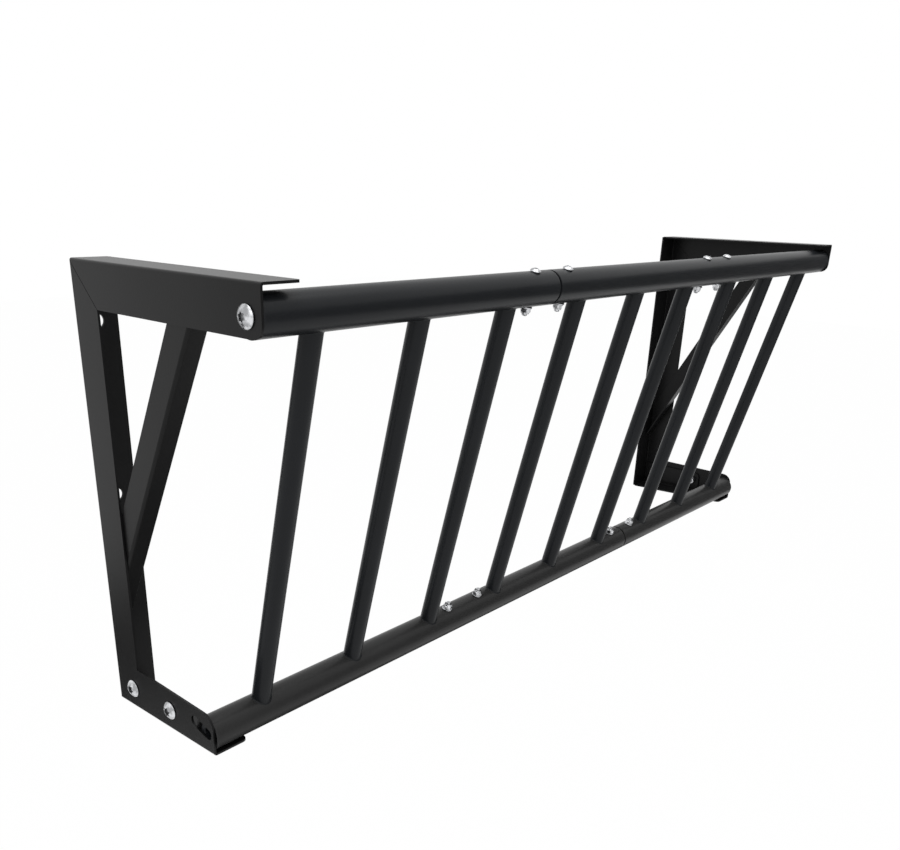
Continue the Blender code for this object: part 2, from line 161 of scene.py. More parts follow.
def prism(outline, low_x, high_x):
    """A closed solid over an outline of (y, z) points."""
    shape = bmesh.new()
    first, second = [[shape.verts.new((x, y, z)) for y, z in outline] for x in (low_x, high_x)]
    for i in range(len(outline)):
        j = (i + 1) % len(outline)
        shape.faces.new((first[i], first[j], second[j], second[i]))
    shape.faces.new(first)
    shape.faces.new(second)
    bmesh.ops.recalc_face_normals(shape, faces=shape.faces)
    return mesh_of(shape, "prism")


def merged_faces(source):
    """A copy of a mesh with its flat faces whole again."""
    shape = shape_of(source)
    bmesh.ops.remove_doubles(shape, verts=shape.verts, dist=SAME_POINT)
    bmesh.ops.dissolve_limit(
        shape, angle_limit=SAME_PLANE, verts=shape.verts, edges=shape.edges,
        use_dissolve_boundaries=False,
    )
    return mesh_of(shape, "merged")


def joined(name, meshes):
    """One mesh of several; those themselves go."""
    shape = shape_of(*meshes)
    for mesh in meshes:
        bpy.data.meshes.remove(mesh)
    return mesh_of(shape, name)


def mirror(mesh):
    """Turns a mesh of the right side into one of the left."""
    shape = shape_of(mesh)
    bmesh.ops.scale(shape, vec=(-1, 1, 1), verts=shape.verts)
    bmesh.ops.reverse_faces(shape, faces=shape.faces)
    shape.to_mesh(mesh)
    shape.free()


def finished(guide):
    """The guide's mesh with its modifiers in it; the guide itself goes."""
    bpy.context.view_layer.update()
    graph = bpy.context.evaluated_depsgraph_get()
    result = bpy.data.meshes.new_from_object(guide.evaluated_get(graph))
    bpy.data.objects.remove(guide)
    return result


def cut(mesh, cutter):
    """A closed mesh without what lies in the cutter."""
    guide, other = linked("guide", mesh), linked("guide", cutter)
    taken = guide.modifiers.new("taken", "BOOLEAN")
    taken.operation = "DIFFERENCE"
    taken.solver = "EXACT"
    taken.object = other
    result = finished(guide)
    bpy.data.objects.remove(other)
    return result


# Materials.

COAT_IOR = 1.24
NOISE_MIDDLE = (0.3, 0.7)
FULL = (0.0, 1.0)
WHITE = (1, 1, 1, 1)
BLOOM_SPAN = (0.42, 0.6)
BLOOM_TONE = 0.48


class Nodes:
    """Short calls for building a node tree."""

    def __init__(self, tree):
        self.tree = tree

    def add(self, kind, **values):
        node = self.tree.nodes.new(kind)
        for key, value in values.items():
            setattr(node, key, value)
        return node

    def link(self, source, target):
        self.tree.links.new(source, target)

    def place(self):
        """Where a point lies on its own object."""
        return self.add("ShaderNodeTexCoord").outputs["Object"]

    def noise(self, vector, scale, detail=2.0, roughness=0.5):
        node = self.add("ShaderNodeTexNoise")
        node.inputs["Scale"].default_value = scale
        node.inputs["Detail"].default_value = detail
        node.inputs["Roughness"].default_value = roughness
        self.link(vector, node.inputs["Vector"])
        return node.outputs["Fac"]

    def ramp(self, value, source, target):
        """Maps one span of values onto another."""
        node = self.add("ShaderNodeMapRange")
        for key, number in zip(("From Min", "From Max", "To Min", "To Max"), (*source, *target)):
            node.inputs[key].default_value = number
        self.link(value, node.inputs["Value"])
        return node.outputs["Result"]

    def mix(self, factor, first, second):
        """A colour between two."""
        node = self.add("ShaderNodeMix", data_type="RGBA")
        self.link(factor, node.inputs["Factor"])
        node.inputs["A"].default_value = (*first, 1.0)
        node.inputs["B"].default_value = (*second, 1.0)
        return node.outputs["Result"]

    def bump(self, height, strength, distance, normal=None):
        node = self.add("ShaderNodeBump")
        node.inputs["Strength"].default_value = strength
        node.inputs["Distance"].default_value = distance
        self.link(height, node.inputs["Height"])
        if normal is not None:
            self.link(normal, node.inputs["Normal"])
        return node.outputs["Normal"]

    def show(self, share, first, second, output):
        """Mixes two shaders into the tree's output."""
        mixed = self.add("ShaderNodeMixShader")
        self.link(share, mixed.inputs["Fac"])
        self.link(first.outputs[0], mixed.inputs[1])
        self.link(second.outputs[0], mixed.inputs[2])
        self.link(mixed.outputs[0], self.tree.nodes[output].inputs["Surface"])


def new_material(name):
    material = bpy.data.materials.new(name)
    material.use_nodes = True
    return material, Nodes(material.node_tree), material.node_tree.nodes["Principled BSDF"]


def powder_coat(name, dark, light, rough):
    """Satin black powder coat: fine orange peel, a little uneven in colour and gloss."""
    material, nodes, shader = new_material(name)
    place = nodes.place()
    shader.inputs["IOR"].default_value = COAT_IOR
    broad = nodes.noise(place, scale=9.0, detail=3.0)
    fine = nodes.noise(place, scale=900.0, detail=2.0, roughness=0.6)
    colour = nodes.mix(nodes.ramp(broad, NOISE_MIDDLE, FULL), dark, light)
    nodes.link(colour, shader.inputs["Base Color"])
    nodes.link(nodes.ramp(fine, NOISE_MIDDLE, rough), shader.inputs["Roughness"])
    peel = nodes.noise(place, scale=420.0, detail=1.0)
    broad_bump = nodes.bump(peel, strength=0.1, distance=0.0006)
    fine_bump = nodes.bump(fine, strength=0.06, distance=0.0003, normal=broad_bump)
    nodes.link(fine_bump, shader.inputs["Normal"])
    return material


def bright_zinc(name, tone, rough):
    """Bright zinc plating: a cool mirror with a bloom in patches and a fine grain."""
    material, nodes, shader = new_material(name)
    place = nodes.place()
    shader.inputs["Metallic"].default_value = 1.0
    bloom = nodes.noise(place, scale=130.0, detail=4.0, roughness=0.6)
    darker = tuple(channel * BLOOM_TONE for channel in tone)
    colour = nodes.mix(nodes.ramp(bloom, BLOOM_SPAN, FULL), darker, tone)
    nodes.link(colour, shader.inputs["Base Color"])
    nodes.link(nodes.ramp(bloom, NOISE_MIDDLE, rough), shader.inputs["Roughness"])
    grain = nodes.noise(place, scale=1400.0, detail=2.0)
    nodes.link(nodes.bump(grain, strength=0.1, distance=0.0002), shader.inputs["Normal"])
    return material


SHEET_COAT = powder_coat(
    "bracket_powder_coat", (0.0055, 0.0055, 0.0057), (0.0075, 0.0075, 0.0077), (0.3, 0.38)
)
TUBE_COAT = powder_coat(
    "tube_powder_coat", (0.0092, 0.0102, 0.0116), (0.0118, 0.013, 0.0148), (0.28, 0.36)
)
# The low rail's coat is painted lighter than the other tubes' coat: painted light, for the light
# bounced up onto it.
BOUNCE_LIT_LOW_RAIL_COAT = powder_coat(
    "low_rail_coat_painted_bounce_light", (0.0212, 0.0212, 0.0212), (0.024, 0.024, 0.024), (0.28, 0.36)
)
ZINC = bright_zinc("bright_zinc", (0.76, 0.77, 0.79), (0.2, 0.32))
# The zinc in a bolt's star recess is darker than the rest: painted shade in the recess.
RECESS_SHADE_ZINC = bright_zinc("zinc_painted_recess_shade", (0.3, 0.305, 0.31), (0.3, 0.45))
INSERT = powder_coat("lock_nut_insert", (0.012, 0.012, 0.013), (0.016, 0.016, 0.017), (0.4, 0.5))


def add_piece(name, mesh, material, body, nodes, angle=SMOOTH_ANGLE, second=None):
    """A finer piece that rides on a body and stands for the named nodes."""
    if angle:
        mesh.shade_smooth()
        mesh.set_sharp_from_angle(angle=math.radians(angle))
    if mesh.materials:
        mesh.materials.clear()
    mesh.materials.append(material)
    if second:
        mesh.materials.append(second)
    piece = linked(name, mesh)
    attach(piece, body)
    if nodes:
        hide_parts(*nodes)


# Brackets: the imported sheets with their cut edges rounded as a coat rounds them.

CREASE = math.radians(38)
COAT_EDGE = 0.0004
COAT_EDGE_STEPS = 2
LARGE_FACE_WEIGHT = 90
# How near to the plane of a flush joint its edges lie.
FLUSH_REACH = 0.0004
# How far both faces of the top mitre are drawn back, and how deep its filler lies.
MITRE_DRAW = 0.00035
MITRE_INSET = 0.0009
# How far a filler goes into the sheets on both sides, as a share of its gap.
FILLER_SPARE = 0.2
FOOT_ROUND = 0.006
FOOT_STEPS = 8
CUTTER_SPARE = 0.002
CUTTER_HALF_WIDTH = 0.9


def mitre_filler(source, normal, gap, inset=0.0):
    """A slab on the faces that look along the mitre's normal, a little thicker than the gap."""
    shape = shape_of(source)
    others = [face for face in shape.faces if face.normal.dot(normal) < SAME_NORMAL]
    bmesh.ops.delete(shape, geom=others, context="FACES")
    if inset:
        rim = bmesh.ops.inset_region(
            shape, faces=shape.faces[:], use_boundary=True, use_even_offset=True, thickness=inset
        )
        bmesh.ops.delete(shape, geom=rim["faces"], context="FACES")
    bmesh.ops.translate(shape, verts=shape.verts, vec=-normal * gap * FILLER_SPARE)
    made = bmesh.ops.extrude_face_region(shape, geom=shape.faces[:])
    moved = [item for item in made["geom"] if isinstance(item, bmesh.types.BMVert)]
    bmesh.ops.translate(shape, verts=moved, vec=normal * gap * (1 + 2 * FILLER_SPARE))
    bmesh.ops.recalc_face_normals(shape, faces=shape.faces)
    return mesh_of(shape, "filler")


def corner_cutter():
    """What is ground off the corner of a foot at the wall."""
    slope = math.atan2(LOW_ARM_RISE, LOW_ARM_RUN)
    rise = FOOT_ROUND / math.cos(slope) + FOOT_ROUND * math.tan(slope)
    centre = Vector((-FOOT_ROUND, rise))
    outline = []
    for step in range(FOOT_STEPS + 1):
        angle = (math.pi / 2 + slope) * (step / FOOT_STEPS - 1)
        y = centre.x + FOOT_ROUND * math.cos(angle)
        z = centre.y + FOOT_ROUND * math.sin(angle)
        outline.append((y, z))
    outline += [
        (CUTTER_SPARE, centre.y),
        (CUTTER_SPARE, -CUTTER_SPARE),
        (outline[0][0], outline[0][1] - CUTTER_SPARE),
    ]
    return prism(outline, -CUTTER_HALF_WIDTH, CUTTER_HALF_WIDTH)


def ground_sheet(node):
    """A sheet of a foot with its corner at the wall ground off."""
    return merged_faces(cut(merged_faces(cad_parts[node].data), corner_cutter()))


def draw_back(mesh, point, normal, shift):
    """Moves a piece's cut face along the piece, so that the joint's line shows."""
    for corner in mesh.vertices:
        if abs((corner.co - point).dot(normal)) < SEAT_GAP:
            corner.co += shift


def add_coated(name, mesh, nodes, flush=None):
    """A sheet piece with rounded cut edges, save those in the plane of a flush joint."""
    shape = shape_of(mesh)
    weight = shape.edges.layers.float.new("bevel_weight_edge")
    for edge in shape.edges:
        if len(edge.link_faces) != 2 or edge.calc_face_angle() < CREASE:
            continue
        if flush and all(abs(corner.co.dot(flush)) < FLUSH_REACH for corner in edge.verts):
            edge.smooth = False
        else:
            edge[weight] = 1.0
    for face in shape.faces:
        face.smooth = True
    shape.to_mesh(mesh)
    shape.free()
    guide = linked("guide", mesh)
    bevel = guide.modifiers.new("edges", "BEVEL")
    bevel.width = COAT_EDGE
    bevel.segments = COAT_EDGE_STEPS
    bevel.limit_method = "WEIGHT"
    even = guide.modifiers.new("even", "WEIGHTED_NORMAL")
    even.keep_sharp = True
    even.weight = LARGE_FACE_WEIGHT
    result = finished(guide)
    result.name = name
    add_piece(name, result, SHEET_COAT, "brackets", nodes, angle=0)


def add_brackets():
    """Post and low arm are one at the foot, with no line; the top mitre keeps its line."""
    mitre = Vector((0, -LOW_ARM_HEIGHT, -FACE_WIDTH)).normalized()
    top = Vector((0, 0, HEIGHT))
    top_mitre = Vector((0, -1, 1)).normalized()
    for side in ("left", "right"):
        for part in ("top_arm", "brace", "foot_plate"):
            node = f"{side}_{part}"
            mesh = merged_faces(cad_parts[node].data)
            if part == "top_arm":
                draw_back(mesh, top, top_mitre, Vector((0, -MITRE_DRAW, 0)))
            add_coated(node + "_coated", mesh, [node])
        post, arm = ground_sheet("right_post"), ground_sheet("right_low_arm")
        draw_back(post, top, top_mitre, Vector((0, 0, -MITRE_DRAW)))
        weld = mitre_filler(post, top_mitre, SEAT_GAP + 2 * MITRE_DRAW, MITRE_INSET)
        whole = joined("foot", [post, mitre_filler(post, mitre, SEAT_GAP), arm])
        if side == "left":
            mirror(whole)
            mirror(weld)
        add_piece(f"{side}_top_mitre_weld", weld, SHEET_COAT, "brackets", [])
        add_coated(f"{side}_foot_welded", whole, [f"{side}_post", f"{side}_low_arm"], mitre)


# Rails, plugs and bars.

RAIL_SIDES = 96
RAIL_EDGE = 0.0003
# Where the middle of a rounded edge lies, as a share of its size.
EDGE_MIDDLE = 0.3
# How far from a tube's end a ring keeps the shading of the rest even.
SUPPORT = 0.002
# How far both tubes are drawn back at an open seam.
SEAM_DRAW = 0.0013
PLUG_SIDES = 72
# Radius and depth of a plug's corners: the ledge in the rail, the raised boss, the bore.
PLUG_PROFILE = (
    (0.0195, 0.0045), (0.0139, 0.0045), (0.0135, 0.0042), (0.0135, 0.0004), (0.0131, 0.0),
    (0.0077, 0.0), (0.0063, 0.0012), (0.0063, 0.008), (0.0195, 0.008),
)
BAR_SIDES = 64
BEAD_SIDES = 96
BEAD_STEPS = 6
BEAD_ANGLE = 60
# A bead's size, with broad waves that differ from bead to bead, and ripples.
BEAD_SIZE = 0.0017
BEAD_WAVE = 0.00012
BEAD_WAVES = 5
BEAD_SHIFT = 2.1
BEAD_RIPPLE = 0.00006
BEAD_RIPPLES = 13
# How far a bead reaches into the bar, into the rail, and at its root.
BEAD_IN_BAR = 0.00015
BEAD_IN_RAIL = 0.00005
BEAD_ROOT = 0.0009


def rail_tube(name, start, end, open_start, open_end):
    """A tube along X; an open end has its edge rounded, the other is flush with what it meets."""
    inner = RAIL_RADIUS - RAIL_WALL
    length = (end - start).length
    first = RAIL_EDGE if open_start else 0.0
    last = RAIL_EDGE if open_end else 0.0
    profile = [
        (RAIL_RADIUS, first), (RAIL_RADIUS, SUPPORT),
        (RAIL_RADIUS, length - SUPPORT), (RAIL_RADIUS, length - last),
    ]
    if last:
        rounding = last * EDGE_MIDDLE
        profile += [(RAIL_RADIUS - rounding, length - rounding), (RAIL_RADIUS - last, length)]
    profile += [(inner, length), (inner, 0.0)]
    if first:
        rounding = first * EDGE_MIDDLE
        profile += [(RAIL_RADIUS - first, 0.0), (RAIL_RADIUS - rounding, rounding)]
    mesh = turned(name, profile, RAIL_SIDES)
    mesh.transform(Matrix.Translation(start) @ turn_to(ALONG_X))
    return mesh


def seam_ends(before, after, is_open):
    """Where two tubes end at their seam: drawn back if it is open, else in its middle."""
    if is_open:
        return before - SEAM_DRAW, after + SEAM_DRAW
    middle = (before + after) / 2
    return middle, middle


def add_rails():
    """The rails, with the two seams open that show as dark rings and the others drawn up tight."""
    for rail, axis, open_seam, coat in (
        ("top", PIVOT, 1, TUBE_COAT),
        ("low", LOW_AXIS, 2, BOUNCE_LIT_LOW_RAIL_COAT),
    ):
        boxes = [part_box(f"{rail}_rail_{number}") for number in (1, 2, 3)]
        ends = [boxes[0][0].x]
        for seam in (1, 2):
            ends += seam_ends(boxes[seam - 1][1].x, boxes[seam][0].x, seam == open_seam)
        ends.append(boxes[2][1].x)
        for number in (1, 2, 3):
            node = f"{rail}_rail_{number}"
            start, end = (axis + ALONG_X * x for x in ends[2 * number - 2 : 2 * number])
            open_start = number - 1 in (0, open_seam)
            open_end = number in (open_seam, 3)
            mesh = rail_tube(node + "_tube", start, end, open_start, open_end)
            add_piece(node + "_tube", mesh, coat, "grille", [node])


def add_plugs():
    """Plugs with a raised boss round the bore, flush with the rail's end."""
    for rail, axis in (("top", PIVOT), ("low", LOW_AXIS)):
        for name, side in (("left", -1), ("right", 1)):
            node = f"{rail}_rail_{name}_plug"
            low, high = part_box(node)
            seat = axis + ALONG_X * (low.x if side < 0 else high.x)
            mesh = turned(node, PLUG_PROFILE, PLUG_SIDES)
            mesh.transform(Matrix.Translation(seat) @ turn_to(ALONG_X * -side))
            add_piece(node + "_turned", mesh, TUBE_COAT, "grille", [node])


def bar_matrix(x):
    """Places a bar whose axis is Z and whose X runs along the rails."""
    turn = Matrix((ALONG_X, GRILLE_UP.cross(ALONG_X), GRILLE_UP)).transposed().to_4x4()
    return Matrix.Translation(LOW_AXIS + ALONG_X * x) @ turn


def height_on(rail, radius, angle, top, lift=0.0):
    """How high over the low rail's axis a point of a bar meets the low or the top rail."""
    side = radius * math.sin(angle)
    reach = math.sqrt(max(rail**2 - side**2, 0.0)) + lift
    return GRILLE_SPAN - reach if top else reach


def bar_end(radius, top):
    """The ring of a bar's outer or inner edge where it ends at a rail."""
    return shape_ring(
        lambda angle: radius,
        lambda r, angle: height_on(RAIL_RADIUS + SEAT_GAP, r, angle, top),
        BAR_SIDES,
    )


def weld_bead(x, number, top):
    """A slim, soft fillet where a bar meets a rail."""

    def size_at(angle):
        wave = BEAD_WAVE * math.sin(BEAD_WAVES * angle + number * BEAD_SHIFT + top)
        return BEAD_SIZE + wave + BEAD_RIPPLE * math.sin(BEAD_RIPPLES * angle)

    def bead_ring(turn):
        def radius_at(angle):
            return BAR_RADIUS - BEAD_IN_BAR + size_at(angle) * (1 - math.cos(turn))

        def height_at(radius, angle):
            lift = size_at(angle) * (1 - math.sin(turn)) - BEAD_IN_RAIL
            return height_on(RAIL_RADIUS, radius, angle, top, lift)

        return shape_ring(radius_at, height_at, BEAD_SIDES)

    def root_height(radius, angle):
        return height_on(RAIL_RADIUS, radius, angle, top, -BEAD_IN_RAIL)

    rings = [bead_ring(math.pi / 2 * step / BEAD_STEPS) for step in range(BEAD_STEPS + 1)]
    rings.append(shape_ring(lambda angle: BAR_RADIUS - BEAD_ROOT, root_height, BEAD_SIDES))
    mesh = ring_mesh("bead", rings, True)
    mesh.transform(bar_matrix(x))
    return mesh


def add_bars():
    """Hollow bars, with their ends cut to the round of the rails and welded on."""
    inner = BAR_RADIUS - BAR_WALL
    beads = []
    for number in range(1, BAR_COUNT + 1):
        node = f"bar_{number}"
        low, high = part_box(node)
        x = (low.x + high.x) / 2
        ends = ((BAR_RADIUS, False), (BAR_RADIUS, True), (inner, True), (inner, False))
        mesh = ring_mesh(node + "_tube", [bar_end(radius, top) for radius, top in ends], True)
        mesh.transform(bar_matrix(x))
        add_piece(node + "_tube", mesh, TUBE_COAT, "grille", [node])
        beads += [weld_bead(x, number, top) for top in (False, True)]
    add_piece("bar_welds", joined("bar_welds", beads), TUBE_COAT, "grille", [], BEAD_ANGLE)


# Bolts and nuts. Their own sizes are in metres, and the star's are shares of its radius.

FASTENER_SIDES = 72
FASTENER_ANGLE = 32
HAIR = 0.0001
FOOT_STAR = 0.0064
PIVOT_STAR = 0.0052
SPLICE_STAR = 0.003
STAR_POINTS = 6
STAR_WAVE = 0.125
STAR_DEPTH = 0.72
STAR_CONE = 0.12
STAR_FLOOR = 0.55
STAR_WALL = 0.95
STAR_EDGE = 0.06
STAR_LIP = 0.05
STAR_REACH = 1.02
RIM_SHARE = 0.2
RIM_EDGE = 0.0005
DOME_EDGE = 0.0004
DOME_STEPS = 8
THREAD_PAST_NUT = 0.001
THREAD_START = 0.0002
THREAD_STOP = 0.0012
THREAD_DEPTH = 0.45
# A bolt's end: how much slimmer than its shank it is, and at what height over its tip.
TIP = ((0.0001, 0.0011), (0.001, 0.0))
BORE_PLAY = 0.0002
NUT_CIRCLE = 0.96
NUT_CHAMFER = math.radians(30)
NUT_EDGE = 0.0006
COLLAR_HEIGHT = 0.0022
# A lock nut's collar: shares of the nut's circle, and depths under the nut's top.
COLLAR = ((0.93, 0.0006), (0.91, 0.0001), (0.88, 0.0), (0.87, 0.0006))
INSERT_SHARE = 0.875
INSERT_DEPTH = 0.0008
WASHER_SIDES = 64
WASHER_PLAY = 0.0004
WASHER_SHARE = 0.62
WASHER_EDGE = 0.0003


def thread_rings(radius, top, bottom, pitch):
    """Ridges of a thread, from the top of its span down to the bottom."""
    rings = []
    height = top
    while height - pitch > bottom:
        rings.append(round_ring(radius, height, FASTENER_SIDES))
        groove = radius - pitch * THREAD_DEPTH
        rings.append(round_ring(groove, height - pitch / 2, FASTENER_SIDES))
        height -= pitch
    return rings


def bolt_mesh(size, length, star):
    """A button head with a star recess over a threaded shank; the recess takes material 1, a
    darker zinc that paints the shade in it.
    """
    head, height, shank = size["head"], size["height"], size["shank"]
    rim = height * RIM_SHARE
    dome = height - rim
    ball = (head**2 + dome**2) / (2 * dome)
    floor = height - star * STAR_DEPTH

    def dome_height(radius, angle=0.0):
        return height - ball + math.sqrt(ball**2 - min(radius, head) ** 2)

    def star_radius(angle):
        return star * (1 - STAR_WAVE + STAR_WAVE * math.cos(STAR_POINTS * angle))

    def star_ring(share, height_at, wider=0.0):
        return shape_ring(lambda a: star_radius(a) * share + wider, height_at, FASTENER_SIDES)

    def dome_ring(share):
        """A ring of the dome, which goes over from the star's outline to a circle."""
        return shape_ring(
            lambda a: star_radius(a) * (1 + STAR_LIP) * (1 - share) + (head - DOME_EDGE) * share,
            dome_height,
            FASTENER_SIDES,
        )

    rings = [
        [(0.0, 0.0, floor - star * STAR_CONE)],
        star_ring(STAR_FLOOR, lambda r, a: floor),
        star_ring(STAR_WALL, lambda r, a: floor + star * STAR_EDGE),
        star_ring(1, lambda r, a: dome_height(r) - star * STAR_EDGE),
        star_ring(1, dome_height, wider=star * STAR_LIP),
    ]
    rings += [dome_ring(step / DOME_STEPS) for step in range(1, DOME_STEPS + 1)]
    nut_top = -length + (size["nut"] + size["washer"] + BOLT_END + THREAD_PAST_NUT)
    corners = [
        (head, rim - DOME_EDGE / 2), (head, RIM_EDGE), (head - RIM_EDGE, 0.0),
        (shank, 0.0), (shank, nut_top),
    ]
    rings += [round_ring(radius, z, FASTENER_SIDES) for radius, z in corners]
    thread = shank, nut_top - THREAD_START, -length + THREAD_STOP
    rings += thread_rings(*thread, size["pitch"])
    rings += [round_ring(shank - less, -length + up, FASTENER_SIDES) for less, up in TIP]
    rings.append([(0.0, 0.0, -length)])
    mesh = ring_mesh("bolt", rings, False)
    for face in mesh.polygons:
        x, y, z = face.center
        if z > 0 and math.hypot(x, y) < star_radius(math.atan2(y, x)) * STAR_REACH:
            face.material_index = 1
    return mesh


def nut_mesh(size, collar):
    """A chamfered hexagon nut; a lock nut's collar is rolled in on an insert of material 1."""
    top, bore = size["nut"], size["shank"] + BORE_PLAY
    apothem = size["flats"] / 2
    circle = apothem * NUT_CIRCLE
    height = top - (COLLAR_HEIGHT if collar else 0.0)

    def hex_radius(angle):
        return apothem / math.cos((angle % (math.pi / 3)) - math.pi / 6)

    def chamfer(radius):
        return max(radius - circle, 0.0) * math.tan(NUT_CHAMFER)

    rings = [
        round_ring(bore + NUT_EDGE, 0.0, FASTENER_SIDES),
        round_ring(circle, 0.0, FASTENER_SIDES),
        shape_ring(hex_radius, lambda r, a: chamfer(r), FASTENER_SIDES),
        shape_ring(hex_radius, lambda r, a: height - chamfer(r), FASTENER_SIDES),
        round_ring(circle, height, FASTENER_SIDES),
    ]
    if collar:
        corners = [(circle * COLLAR[0][0], height + HAIR)]
        corners += [(circle * share, top - depth) for share, depth in COLLAR]
        corners.append((bore + HAIR, top - INSERT_DEPTH))
    else:
        corners = [(bore + NUT_EDGE, height), (bore, height - NUT_EDGE)]
    corners.append((bore, NUT_EDGE))
    rings += [round_ring(radius, z, FASTENER_SIDES) for radius, z in corners]
    mesh = ring_mesh("nut", rings, True)
    lowest, widest = top - INSERT_DEPTH - HAIR, circle * INSERT_SHARE
    for face in mesh.polygons:
        if collar and face.center.z > lowest and face.center.xy.length < widest:
            face.material_index = 1
    return mesh


def washer_mesh(size):
    """A flat washer with rounded rims."""
    inner, outer = size["shank"] + WASHER_PLAY, size["flats"] * WASHER_SHARE
    top, edge = size["washer"] - HAIR, WASHER_EDGE
    profile = [
        (inner, edge), (inner + edge, 0.0), (outer - edge, 0.0), (outer, edge),
        (outer, top - edge), (outer - edge, top), (inner + edge, top), (inner, top - edge),
    ]
    return turned("washer", profile, WASHER_SIDES)


def add_bolt(node, size, seat, out, length, star, body, spin):
    """A bolt whose head sits at the seat and looks outwards."""
    mesh = bolt_mesh(size, length, star)
    mesh.transform(Matrix.Translation(seat) @ turn_to(out) @ Matrix.Rotation(spin, 4, "Z"))
    add_piece(node + "_turned", mesh, ZINC, body, [node], FASTENER_ANGLE, RECESS_SHADE_ZINC)


def add_nut(node, size, seat, out, body, spin, collar):
    """A nut at the seat, on a washer where its size has one."""
    place = Matrix.Translation(seat) @ turn_to(out)
    lift = Matrix.Translation(Vector(out) * size["washer"])
    mesh = nut_mesh(size, collar)
    mesh.transform(lift @ place @ Matrix.Rotation(spin, 4, "Z"))
    add_piece(node + "_turned", mesh, ZINC, body, [node], FASTENER_ANGLE, INSERT)
    if size["washer"]:
        mesh = washer_mesh(size)
        mesh.transform(place)
        add_piece(node + "_washer", mesh, ZINC, body, [])


def add_bracket_fasteners():
    """Foot bolts with their nuts, and the pivot bolts, with their heads on the brackets."""
    outside = LENGTH / 2 + SEAT_GAP

    def reach_in(bolt, seat, side):
        """How far a bolt reaches in from its seat."""
        low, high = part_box(bolt)
        return high.x - seat.x if side < 0 else seat.x - low.x

    for name, side in (("left", -1), ("right", 1)):
        out = Vector((side, 0, 0))
        for number in (1, 2):
            bolt, nut = f"{name}_foot_{number}_bolt", f"{name}_foot_{number}_nut"
            seat = middle_of(bolt, side * outside)
            length = reach_in(bolt, seat, side)
            add_bolt(bolt, LARGE, seat, out, length, FOOT_STAR, "brackets", spin=0.4 * number)
            low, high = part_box(nut)
            seat = middle_of(nut, low.x if side < 0 else high.x)
            add_nut(nut, LARGE, seat, -out, "brackets", spin=0.3 + number, collar=False)
        bolt = f"{name}_pivot_bolt"
        seat = PIVOT + out * outside
        length = reach_in(bolt, seat, side)
        add_bolt(bolt, LARGE, seat, out, length, PIVOT_STAR, "grille", spin=0.2)


def add_splice_fasteners():
    """Two bolts to a seam, through the rail, with a lock nut on a washer behind it."""
    outside = RAIL_RADIUS + SEAT_GAP
    length = 2 * outside + SMALL["washer"] + SMALL["nut"] + BOLT_END
    for rail, axis, out in (("top", PIVOT, GRILLE_UP), ("low", LOW_AXIS, -GRILLE_UP)):
        for number in range(1, 5):
            bolt, nut = f"{rail}_splice_{number}_bolt", f"{rail}_splice_{number}_nut"
            low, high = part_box(bolt)
            centre = axis + ALONG_X * (low.x + high.x) / 2
            head, seat = centre + out * outside, centre - out * outside
            add_bolt(bolt, SMALL, head, out, length, SPLICE_STAR, "grille", spin=0.5 * number)
            add_nut(nut, SMALL, seat, -out, "grille", spin=0.25 * number, collar=True)


def coat_sleeves():
    """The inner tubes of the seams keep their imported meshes."""
    for node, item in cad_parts.items():
        if "sleeve" in node:
            item.data.materials.clear()
            item.data.materials.append(TUBE_COAT)


# Floor, light and camera.

FLOOR_LEVEL = -1.1
FLOOR_HALF_WIDTH = 14.0
FLOOR_TONE = (0.93, 0.93, 0.93, 1)
FLOOR_ROUGHNESS = 0.9
FLOOR_GLOW = 0.97
# The studio light's strength follows the height from which it comes.
LIGHT_HEIGHTS = (-0.6, 0.8)
LIGHT_STRENGTHS = (0.45, 0.9)
# Lamps: place, target, size and power.
LAMPS = {
    "overhead": ((-0.3, -0.6, 2.6), (0, -0.15, 0.3), (2.6, 2.0), 30),
    "left": ((-2.4, -1.4, 1.9), (-0.4, -0.2, 0.35), (1.4, 1.4), 5),
}
CARD_ROUGHNESS = (0.9, 1.0)
CARD_LEVEL = -1.09
LYING = (0, 0, 0)
# Dark cards that only gloss shows, which paint shade into the reflections: the feeder's shadow on
# the floor, and a darker side of the studio in front. Place, turn in degrees, size and tone.
SHADE_CARDS = {
    "card_front": ((2.87, -2.2, 0.25), (90, 0, 55), (5.0, 2.6), 0.2),
    "card_behind_foot": ((-1.85, 2.15, CARD_LEVEL), LYING, (1.7, 1.0), 0.01),
    "card_under": ((0.8, 0.12, CARD_LEVEL), LYING, (2.8, 0.72), 0.01),
    "card_by_brace": ((0.05, -0.43, CARD_LEVEL), LYING, (0.7, 0.5), 0.2),
    "card_by_foot": ((-1.75, 1.37, CARD_LEVEL), LYING, (1.3, 0.56), 0.35),
}
# The photograph's viewpoint, solved from its points and edges.
CAMERA_PLACE = (-1.282556, -1.047413, 0.679265)
CAMERA_TILT = -0.3871
CAMERA_ROLL = -0.02477
CAMERA_PAN = -0.83888
CAMERA_LENS = 35.418
CAMERA_SHIFT = (0.03419, 0.14407)
SENSOR_WIDTH = 36.0
NEAREST = 0.05
FURTHEST = 60


def seen_share(nodes):
    """1 for the rays that show the background: from the camera, off gloss and through glass."""
    path = nodes.add("ShaderNodeLightPath")
    share = path.outputs["Is Camera Ray"]
    for kind in ("Is Glossy Ray", "Is Transmission Ray"):
        either = nodes.add("ShaderNodeMath", operation="MAXIMUM")
        nodes.link(share, either.inputs[0])
        nodes.link(path.outputs[kind], either.inputs[1])
        share = either.outputs[0]
    return share


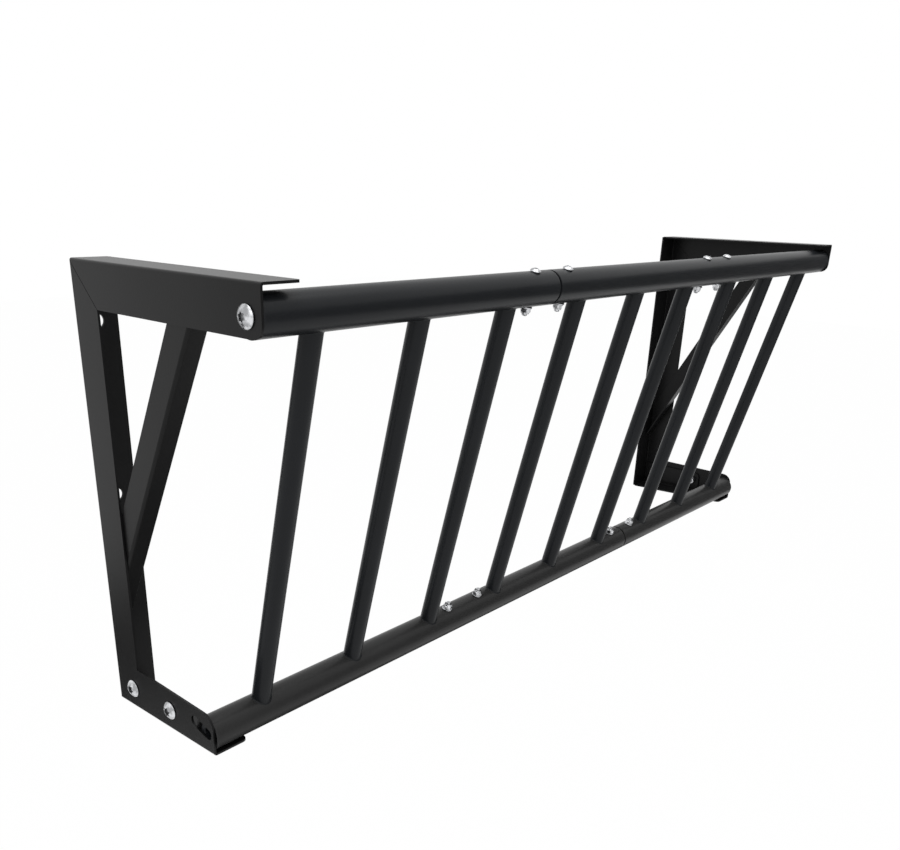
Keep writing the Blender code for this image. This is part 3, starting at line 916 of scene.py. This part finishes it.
def light_world():
    """A white background, and an even studio light that is a little stronger from above."""
    world = bpy.data.worlds.new("studio")
    bpy.context.scene.world = world
    world.use_nodes = True
    nodes = Nodes(world.node_tree)
    studio = world.node_tree.nodes["Background"]
    studio.inputs["Color"].default_value = WHITE
    parts = nodes.add("ShaderNodeSeparateXYZ")
    nodes.link(nodes.add("ShaderNodeTexCoord").outputs["Generated"], parts.inputs["Vector"])
    strength = nodes.ramp(parts.outputs["Z"], LIGHT_HEIGHTS, LIGHT_STRENGTHS)
    nodes.link(strength, studio.inputs["Strength"])
    white = nodes.add("ShaderNodeBackground")
    white.inputs["Color"].default_value = WHITE
    white.inputs["Strength"].default_value = 1.0
    nodes.show(seen_share(nodes), studio, white, "World Output")


def add_lamp(name, place, target, size, power):
    light = bpy.data.lights.new(name, "AREA")
    light.shape = "RECTANGLE"
    light.size, light.size_y = size
    light.energy = power
    lamp = linked(name, light)
    lamp.location = place
    lamp.rotation_euler = (Vector(target) - Vector(place)).to_track_quat("-Z", "Y").to_euler()


def plane_object(name, half_width, material):
    shape = bmesh.new()
    bmesh.ops.create_grid(shape, x_segments=1, y_segments=1, size=half_width)
    mesh = mesh_of(shape, name)
    mesh.materials.append(material)
    return linked(name, mesh)


def add_floor():
    """A white floor as far below the feeder as one hung on a wall is."""
    material, nodes, shader = new_material("floor_white")
    shader.inputs["Base Color"].default_value = FLOOR_TONE
    shader.inputs["Roughness"].default_value = FLOOR_ROUGHNESS
    shader.inputs["Specular IOR Level"].default_value = 0.0
    glow = nodes.add("ShaderNodeEmission")
    glow.inputs["Color"].default_value = WHITE
    share = nodes.ramp(seen_share(nodes), FULL, (0.0, FLOOR_GLOW))
    nodes.show(share, shader, glow, "Material Output")
    floor = plane_object("floor", FLOOR_HALF_WIDTH, material)
    floor.location = (0, 0, FLOOR_LEVEL)


def add_shade_card(name, place, turn, size, tone):
    """A dark card that shows only in the gloss: painted shade in the reflections, which lights
    nothing and casts no shadow.
    """
    material, nodes, shader = new_material(name + "_tone")
    grain = nodes.noise(nodes.place(), scale=40.0)
    nodes.link(nodes.ramp(grain, NOISE_MIDDLE, CARD_ROUGHNESS), shader.inputs["Roughness"])
    shader.inputs["Base Color"].default_value = (tone, tone, tone, 1)
    shader.inputs["Specular IOR Level"].default_value = 0.0
    card = plane_object(name, 0.5, material)
    card.location = place
    card.scale = (*size, 1.0)
    card.rotation_euler = [math.radians(angle) for angle in turn]
    card.visible_camera = False
    card.visible_diffuse = False
    card.visible_transmission = False
    card.visible_shadow = False


def add_camera():
    """A camera at the photograph's viewpoint."""
    pan = Matrix.Rotation(CAMERA_PAN, 3, "Z")
    tilt = Matrix.Rotation(CAMERA_TILT, 3, "X")
    turn = pan @ tilt @ Matrix.Rotation(CAMERA_ROLL, 3, "Y")
    axes = Matrix((turn.col[0], turn.col[2], -turn.col[1])).transposed()
    camera = bpy.data.cameras.new("camera")
    camera.lens = CAMERA_LENS
    camera.sensor_width = SENSOR_WIDTH
    camera.shift_x, camera.shift_y = CAMERA_SHIFT
    camera.clip_start = NEAREST
    camera.clip_end = FURTHEST
    view = linked("camera", camera)
    view.matrix_world = Matrix.Translation(CAMERA_PLACE) @ axes.to_4x4()
    bpy.context.scene.camera = view


add_brackets()
add_rails()
add_plugs()
add_bars()
add_bracket_fasteners()
add_splice_fasteners()
coat_sleeves()
light_world()
for lamp_name, lamp in LAMPS.items():
    add_lamp(lamp_name, *lamp)
add_floor()
for card_name, card in SHADE_CARDS.items():
    add_shade_card(card_name, *card)
add_camera()
bpy.context.scene.view_settings.view_transform = "Standard"
